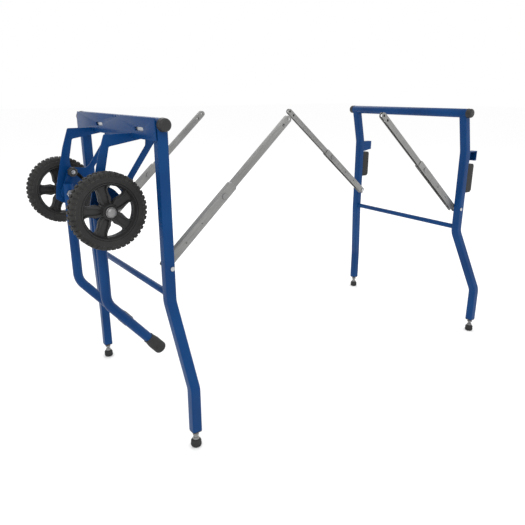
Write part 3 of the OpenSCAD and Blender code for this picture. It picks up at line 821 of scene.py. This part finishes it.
@dataclass
class Foot:
    """One screw foot: a ribbed rubber pad under a threaded stud with its jam nut."""

    end: End
    side: Side
    foot_in: float
    pad_r: float = 13.5
    pad_h: float = 21.0
    stud_r: float = 5.0
    top: float = 66.0
    pitch: float = 1.5
    nut_r: float = 8.5
    nut_z: Point = (33.0, 38.0)
    ribs: int = 24

    def place(self) -> Matrix:
        """Place of the foot, with its origin on the floor."""
        return frame_place(self.end, self.side) @ Matrix.Translation((self.foot_in, -FOOT_Y, 0))

    def pad(self, shop: Workshop) -> None:
        """Turns the pad and sets ribs round it."""
        r, h = self.pad_r - 0.6, self.pad_h
        profile = [(0.0, 1.0), (r - 6.0, 0.0), *arc((r - 5.0, 5.0), 5.0, -80.0, 0.0, 6), (r, 8.0),
                   (r - 0.9, 8.8), (r - 0.9, 10.2), (r, 11.0),
                   *arc((r - 7.0, h - 7.0), 7.0, 0, 85, 8), (self.stud_r + 0.2, h),
                   (self.stud_r + 0.2, h - 6.0), (0.0, h - 6.0)]
        body = lathe(profile, 40)
        rib = prism([(r - 0.5, -0.7), (self.pad_r, -0.4), (self.pad_r, 0.4), (r - 0.5, 0.7)],
                    4.6, 7.8)
        ribs = grow(rib, shop.ring, Count=self.ribs)
        node = f"{self.end.value}_{self.side.value}_foot_pad"
        shop.piece(f"{node}_ribbed", moved(merged([body, ribs]), self.place()), Coat.RUBBER, node)

    def stud(self, shop: Workshop) -> None:
        """Turns the threaded stud, its washer face and its jam nut."""
        z = self.pad_h - 5.5
        profile: list[Point] = [(0.0, z)]
        while z < self.top - self.pitch:
            profile += [(self.stud_r - 0.55, z), (self.stud_r, z + self.pitch / 2)]
            z += self.pitch
        profile += [(self.stud_r - 0.55, z), (0.0, z)]
        thread = lathe(profile, 24)
        flange = lathe([(0.0, 21.6), (8.4, 21.6), (8.5, 22.4), (7.2, 26.3), (0.0, 26.5)], 32)
        nut = prism(arc((0.0, 0.0), self.nut_r, 0.0, 300.0, 5), *self.nut_z, 0.7)
        node = f"{self.end.value}_{self.side.value}_foot_stud"
        shop.piece(f"{node}_threaded", moved(merged([thread, flange, nut]), self.place()),
                   Coat.CAP_STEEL, node)

    def build(self, shop: Workshop) -> None:
        """Builds the pad and the stud."""
        self.pad(shop)
        self.stud(shop)


@dataclass
class Stay:
    """One folding stay: two pressed channels and the rivet of their knuckle."""

    end: End
    side: Side

    def build(self, shop: Workshop) -> None:
        """Rounds the pressed edges of both links and dresses the rivet."""
        prefix = f"{self.end.value}_{self.side.value}"
        shop.softened(f"{prefix}_lower_link", Coat.ZINC, 0.5)
        shop.softened(f"{prefix}_upper_link", Coat.ZINC, 0.5)
        shop.softened(f"{prefix}_knuckle_rivet", Coat.CAP_STEEL, 0.8, 3)


# ---------------------------------------------------------------- wheels and bracket


@dataclass
class Wheel:
    """One transport wheel: a moulded five-spoke rim, a lugged tyre and a bush."""

    side: Side
    radius: float = 87.0
    width: float = 38.0
    rim_r: float = 64.0
    barrel_r: float = 57.0
    hub_r: float = 19.0
    bore_r: float = 9.0
    spokes: int = 5
    first_spoke: float = 31.0
    lugs: int = 44
    tread_depth: float = 2.6
    lug_share: float = 0.35
    lug_skew: float = 0.35
    box_gap: float = 0.15

    def tyre(self, shop: Workshop) -> None:
        """Turns the carcass and sets staggered lugs round both shoulders."""
        half, top = self.width / 2, self.radius - self.tread_depth
        right = [(self.rim_r, 0.0), (self.rim_r, half - 3.0), (self.rim_r + 1.2, half - 1.0),
                 (self.rim_r + 2.6, half - 0.3), (self.rim_r + 4.4, half - 0.3),
                 (self.rim_r + 5.2, half - 1.1), (self.rim_r + 9.0, half - 0.5),
                 (self.rim_r + 13.0, half - 0.9), (top - 3.6, half - 2.4), (top - 1.2, half - 5.2),
                 (top, half - 9.0)]
        left = [(r, -z) for r, z in reversed(right[1:])]
        carcass = lathe([*right, *left], 96)
        pitch = 2 * math.pi / self.lugs
        arm = self.radius * pitch * self.lug_share
        lug = self.lug(arm, half)
        front = grow(lug, shop.ring, Count=self.lugs)
        stagger = Matrix.Rotation(pitch / 2, 4, "Z") @ Matrix.Diagonal((1, 1, -1, 1))
        back = moved(front.copy(), stagger)
        node = f"tyre_{self.side.value}"
        shop.piece(f"{node}_tread", moved(merged([carcass, front, back]), self.place()), Coat.TYRE,
                   node, smooth=TREAD_SMOOTH)

    def lug(self, arm: float, half: float) -> bpy.types.Mesh:
        """One tread lug, from the tread's middle over the shoulder and down the sidewall.

        Args:
            arm: Half the lug's length round the tread.
            half: Half the tyre's width.

        Returns:
            The lug's mesh, at angle 0.
        """
        r = self.radius - self.box_gap
        rows = [(r - 5.0, r - 0.2, 1.0, 0.6), (r - 5.0, r, half - 9.0, 1.0),
                (r - 6.0, r - 0.9, half - 5.0, 1.0), (r - 8.0, r - 3.2, half - 1.6, 0.92),
                (r - 10.0, r - 7.0, half - 0.2, 0.8), (r - 11.0, r - 9.5, half - 1.2, 0.7)]
        bm = bmesh.new()
        rings = []
        for low, high, z, share in rows:
            skew = self.lug_skew * arm * (z / half)
            w = arm * share
            rings.append([bm.verts.new((low, skew - w, z)), bm.verts.new((low, skew + w, z)),
                          bm.verts.new((high, skew + w * 0.85, z)),
                          bm.verts.new((high, skew - w * 0.85, z))])
        for a, b in zip(rings, rings[1:]):
            for i in range(4):
                j = (i + 1) % 4
                bm.faces.new((a[i], a[j], b[j], b[i]))
        bm.faces.new(rings[0][::-1])
        bm.faces.new(rings[-1])
        return close(bm)

    def rim(self, shop: Workshop) -> None:
        """Moulds the barrel, the hub and the ribbed spokes."""
        half, b, r = self.width / 2, self.barrel_r, self.rim_r
        barrel = lathe([(r, 0.0), (r, half - 3.2), (r - 1.0, half - 2.2), (r - 2.5, half - 2.0),
                        (r - 3.4, half - 3.0), (r - 4.5, half - 8.0), (b, half - 11.0),
                        (b, -half + 11.0), (r - 4.5, -half + 8.0), (r - 3.4, -half + 3.0),
                        (r - 2.5, -half + 2.0), (r - 1.0, -half + 2.2), (r, -half + 3.2)], 96)
        h = self.hub_r
        hub = lathe([(self.bore_r, -half), (h - 3.0, -half), (h - 2.0, -half + 1.0),
                     (h - 1.0, -8.0), (h + 1.5, -5.0), (h + 1.5, 5.0), (h - 1.0, 8.0),
                     (h - 2.0, half - 1.6),
                     (h - 2.8, half - 0.6), (h - 4.0, half - 0.4), (h - 5.0, half - 1.6),
                     (self.bore_r + 1.0, half - 1.6), (self.bore_r, half - 0.9)], 64)
        edge = [(self.bore_r + 3.5, 9.0), (22.0, 12.5), (28.0, 14.6), (34.0, 13.4), (42.0, 12.2),
                (49.0, 12.4), (53.0, 14.2), (b, 19.0), (b + 2.0, 24.0)]
        outline = [*[(x, -y) for x, y in edge], (b + 3.5, 0.0), *reversed(edge)]
        plate = prism(outline, -4.0, 4.0, 0.8)
        rails = []
        for s in (-1, 1):
            rail = [(15.0, s * 4.0), (28.0, s * 7.0), (48.0, s * 7.6), (b + 3.0, s * 14.0),
                    (b + 3.0, s * 21.0), (53.0, s * 13.2), (48.0, s * 11.4), (40.0, s * 11.2),
                    (28.0, s * 13.2), (22.0, s * 11.5), (15.0, s * 9.0)]
            rails.append(prism(rail, -8.5, 8.5, 1.0))
        spoke = merged([plate, *rails])
        spokes = grow(spoke, shop.ring, Count=self.spokes, Start=self.first_spoke)
        node = f"wheel_rim_{self.side.value}"
        shop.piece(f"{node}_moulded", moved(merged([barrel, hub, spokes]), self.place()),
                   Coat.PLASTIC, node)

    def place(self) -> Matrix:
        """Place of the wheel on the axle."""
        return axle_place(self.side, WHEEL_Y)

    def build(self, shop: Workshop) -> None:
        """Builds and dresses the wheel."""
        self.rim(shop)
        self.tyre(shop)
        shop.softened(f"wheel_bush_{self.side.value}", Coat.ZINC, 0.3)


@dataclass
class Bracket:
    """The wheel bracket: folded web, two side plates, axle bolts, spacers and domed caps."""

    cap_out: float = 190.0
    slots: Point = (-169.0, 76.0)
    slot_z: float = 758.0
    cap_r: float = 12.0
    plate_faces: Point = (-126.8, -130.2)
    # Size, sheet and set-back of the bright plates behind the slots, which are painted light seen
    # through the empty slots
    glint_plate_half: Point = (27.0, 5.2)
    glint_plate_sheet: float = 1.2
    glint_plate_out: float = 14.5

    def caps(self, shop: Workshop) -> None:
        """Presses the two domed caps on the axle bolts' ends."""
        profile = [(0.0, 2.0), (6.0, 2.0), (6.0, 0.0), (self.cap_r, 0.0), (self.cap_r, 0.8),
                   (self.cap_r - 0.7, 1.4), (self.cap_r - 0.7, 3.8), (self.cap_r - 1.4, 5.0),
                   (self.cap_r - 3.4, 6.9), (self.cap_r - 6.0, 8.2), (self.cap_r - 9.0, 8.9),
                   (0.0, 9.0)]
        shapes = [moved(lathe(profile, 40), axle_place(side, self.cap_out)) for side in Side]
        shop.piece("axle_caps_domed", merged(shapes), Coat.CAP_STEEL, "axle_caps")

    def web_beads(self, shop: Workshop) -> None:
        """Welds the web to the two side plates."""
        beads = []
        for side in Side:
            for y in self.plate_faces:
                for x, low, high in ((-17.8, -32.0, -23.5), (-14.4, -22.0, -8.0)):
                    path = [(x, y, TUBE_Z + low), (x, y, TUBE_Z + high)]
                    bead = grow(polyline(path), shop.bead, Radius=1.2, Ripple=0.3)
                    beads.append(moved(bead, frame_place(End.WHEEL, side)))
        shop.piece("bracket_welds", merged(beads), Coat.BLUE_POWDER, "bracket_web", stands=False,
                   smooth=WELD_SMOOTH)

    def slot_glint_plates(self, shop: Workshop) -> None:
        """Presses two bright steel plates behind the web's slots; they are painted light, standing
        in for the light that shows through the empty slots.
        """
        glint_sheets = []
        a, b = self.glint_plate_half
        for middle in self.slots:
            # Painted light: a bright steel plate behind an empty slot, standing in for the light
            # seen through it
            glint_sheet = prism([(-a, -b), (a, -b), (a, b), (-a, b)], 0.0, self.glint_plate_sheet, 0.4)
            spot = Matrix.Translation((LEFT_X - self.glint_plate_out, middle, self.slot_z))
            glint_sheets.append(moved(glint_sheet, spot @ FACE_X))
        shop.piece("slot_glint_plates", merged(glint_sheets), Coat.STEEL, "bracket_web", stands=False)

    def build(self, shop: Workshop) -> None:
        """Builds and dresses the bracket."""
        self.caps(shop)
        # Bright plates behind the slots, painted light
        self.slot_glint_plates(shop)
        self.web_beads(shop)
        shop.softened("bracket_web", Coat.BLUE_POWDER, 0.6)
        for side in Side:
            shop.softened(f"bracket_plate_{side.value}", Coat.BLUE_POWDER, 0.6)
        shop.softened("axle_bolts", Coat.STEEL, 0.5)
        shop.softened("axle_spacers", Coat.ZINC, 0.5)


@dataclass
class Prop:
    """One swinging prop: bent tube, pivot lug, rubber tip, lock bolt and lock knob."""

    side: Side
    tube_d: float = 25.0
    bend_z: float = 347.0
    slope: float = 40.0
    reach: float = 129.0
    bend: float = 55.0
    top: float = 24.0
    tip_r: float = 16.5
    tip_len: float = 56.0
    overlap: float = 46.0
    knob_r: float = 13.0
    knob_h: float = 18.0
    knob_at: Point = (15.16, 52.87)
    knob_sink: float = 1.3

    def end_point(self) -> Point3:
        """Lower end of the tube's centreline, on the front side."""
        run = self.reach / math.sin(math.radians(self.slope))
        return AXLE_X + self.reach, -PROP_Y, self.bend_z - run * math.cos(math.radians(self.slope))

    def mirror(self) -> Matrix:
        """The matrix that takes a front shape to this side."""
        return Matrix.Diagonal((1, self.side.mirror, 1, 1))

    def tube(self, shop: Workshop) -> None:
        """Bends the tube, starting at its upright end."""
        path = [(AXLE_X, -PROP_Y, AXLE_Z + self.top), (AXLE_X, -PROP_Y, self.bend_z),
                self.end_point()]
        skin = grow(polyline(path), shop.tube, Width=self.tube_d, Corner=self.tube_d / 2 - 0.02,
                    Bend=self.bend)
        node = f"prop_tube_{self.side.value}"
        shop.piece(f"{node}_bent", moved(skin, self.mirror()), Coat.BLUE_POWDER, node)

    def tip(self, shop: Workshop) -> None:
        """Turns the rubber tip, with a lip and grooves."""
        r, length = self.tip_r, self.tip_len
        hole = self.tube_d / 2 - 0.1
        profile = [(0.0, self.overlap), (hole, self.overlap), (hole, 0.0), (13.6, 0.0), (14.2, 0.6),
                   (14.2, 2.4), (13.8, 3.2), (15.2, 14.0), (r, 22.0), (r, 26.0), (r - 0.9, 26.8),
                   (r - 0.9, 28.2), (r, 29.0), (r, 32.0), (r - 0.9, 32.8), (r - 0.9, 34.2),
                   (r, 35.0), *arc((r - 7.0, length - 7.0), 7.0, 0.0, 85.0, 8), (6.0, length),
                   (0.0, length)]
        turn = Matrix.Rotation(math.radians(180.0 - self.slope), 4, "Y")
        place = self.mirror() @ Matrix.Translation(self.end_point()) @ turn
        place = place @ Matrix.Translation((0, 0, -self.overlap))
        node = f"prop_tip_{self.side.value}"
        shop.piece(f"{node}_grooved", moved(lathe(profile, 48), place), Coat.RUBBER, node)

    def knob(self, shop: Workshop) -> None:
        """Moulds the lobed lock knob."""
        r, h = self.knob_r, self.knob_h
        core = lathe([(4.05, 0.0), (8.0, 0.0), (8.0, 4.0), (r - 2.4, 4.0), (r - 1.6, 5.0),
                      (r - 1.6, h - 3.0), (r - 4.0, h - 0.6), (6.2, h), (5.6, h - 2.0),
                      (0.0, h - 2.0), (0.0, h - 3.0), (4.05, h - 3.0)], 40)
        lobe = [(r - 3.0, -2.2), (r - 0.6, -1.4), (r, 0.0), (r - 0.6, 1.4), (r - 3.0, 2.2)]
        rib = prism(lobe, 5.0, h - 2.6, 0.4)
        ribs = grow(rib, shop.ring, Count=8, Start=22.5)
        out = PROP_Y + self.tube_d / 2 - self.knob_sink
        spot = (AXLE_X + self.knob_at[0], -out, AXLE_Z + self.knob_at[1])
        place = self.mirror() @ Matrix.Translation(spot) @ KNOB_TURN
        node = f"lock_knob_{self.side.value}"
        screw = merged([lathe([(0.0, h - 2.0), (5.4, h - 2.0), (5.4, h - 0.9), (0.0, h - 0.9)], 32),
                        prism(arc((0.0, 0.0), 3.9, 0.0, 300.0, 5), h - 1.0, h - 0.05, 0.3)])
        shop.piece(f"{node}_lobed", moved(merged([core, ribs]), place), Coat.PLASTIC, node)
        shop.piece(f"{node}_screw", moved(screw, place), Coat.STEEL, node, stands=False)

    def build(self, shop: Workshop) -> None:
        """Builds and dresses the prop."""
        self.tube(shop)
        self.tip(shop)
        self.knob(shop)
        shop.softened(f"prop_lug_{self.side.value}", Coat.BLUE_POWDER, 0.6)
        shop.softened(f"lock_bolt_{self.side.value}", Coat.STEEL, 0.6)


# ---------------------------------------------------------------- studio


@dataclass
class Studio:
    """Floor, lights and camera."""

    camera_at: Point3 = (-1.00275, -1.2977, 0.8349)
    yaw: float = 36.17
    pitch: float = 17.72
    lens: float = 36.58
    floor_half: float = 30.0
    aim: Point3 = (0.0, 0.0, 0.45)

    def floor(self) -> None:
        """Lays a plain pale floor."""
        mesh = bpy.data.meshes.new("floor")
        s = self.floor_half
        mesh.from_pydata([(-s, -s, 0), (s, -s, 0), (s, s, 0), (-s, s, 0)], [], [(0, 1, 2, 3)])
        obj = bpy.data.objects.new("floor", mesh)
        bpy.context.scene.collection.objects.link(obj)
        material = bpy.data.materials.new("pale_floor")
        material.use_nodes = True
        shader = material.node_tree.nodes["Principled BSDF"]
        shader.inputs["Base Color"].default_value = (0.985, 0.985, 0.985, 1.0)
        shader.inputs["Roughness"].default_value = 1.0
        shader.inputs["Specular IOR Level"].default_value = 0.0
        mesh.materials.append(material)

    def light(self, name: str, at: Point3, size: float, power: float) -> None:
        """Adds a soft lamp aimed at the middle of the set."""
        lamp = bpy.data.lights.new(name, "AREA")
        lamp.size = size
        lamp.energy = power
        obj = bpy.data.objects.new(name, lamp)
        obj.location = at
        aim = Vector(self.aim) - Vector(at)
        obj.rotation_mode = "QUATERNION"
        obj.rotation_quaternion = aim.to_track_quat("-Z", "Y")
        bpy.context.scene.collection.objects.link(obj)

    def camera(self) -> None:
        """Sets the camera."""
        data = bpy.data.cameras.new("camera")
        data.lens = self.lens
        data.sensor_width = 36.0
        data.clip_start, data.clip_end = 0.05, 100.0
        obj = bpy.data.objects.new("camera", data)
        yaw, pitch = math.radians(self.yaw), math.radians(self.pitch)
        forward = Vector((math.sin(yaw) * math.cos(pitch), math.cos(yaw) * math.cos(pitch),
                          -math.sin(pitch)))
        obj.location = self.camera_at
        obj.rotation_mode = "QUATERNION"
        obj.rotation_quaternion = forward.to_track_quat("-Z", "Y")
        bpy.context.scene.collection.objects.link(obj)
        bpy.context.scene.camera = obj

    def build(self) -> None:
        """Sets up the whole studio."""
        self.floor()
        self.camera()
        self.light("key", (-2.4, -3.0, 3.6), 2.4, 62.0)
        self.light("fill", (3.4, -2.2, 2.0), 3.0, 18.0)
        self.light("rim", (1.2, 3.2, 3.2), 2.4, 34.0)
        scene = bpy.context.scene
        scene.view_settings.view_transform = "Standard"
        world = bpy.data.worlds.new("studio")
        world.use_nodes = True
        world.node_tree.nodes["Background"].inputs["Color"].default_value = (1.0, 1.0, 1.0, 1.0)
        world.node_tree.nodes["Background"].inputs["Strength"].default_value = 1.0
        scene.world = world


def main() -> None:
    """Builds the set in order."""
    logging.basicConfig(level=logging.INFO, format="%(name)s: %(message)s")
    shop = Workshop()
    Studio().build()
    Bracket().build(shop)
    for side in Side:
        Wheel(side).build(shop)
        Prop(side).build(shop)
    for end, foot_in, mid_in in ((End.WHEEL, 23.0, 0.0), (End.PLAIN, -92.0, -27.0)):
        LegFrame(end, foot_in, mid_in).build(shop)
        for side in Side:
            Foot(end, side, foot_in).build(shop)
            Stay(end, side).build(shop)
    LOG.info("%d triangles in all", shop.triangles)


if __name__ == "__main__":
    main()
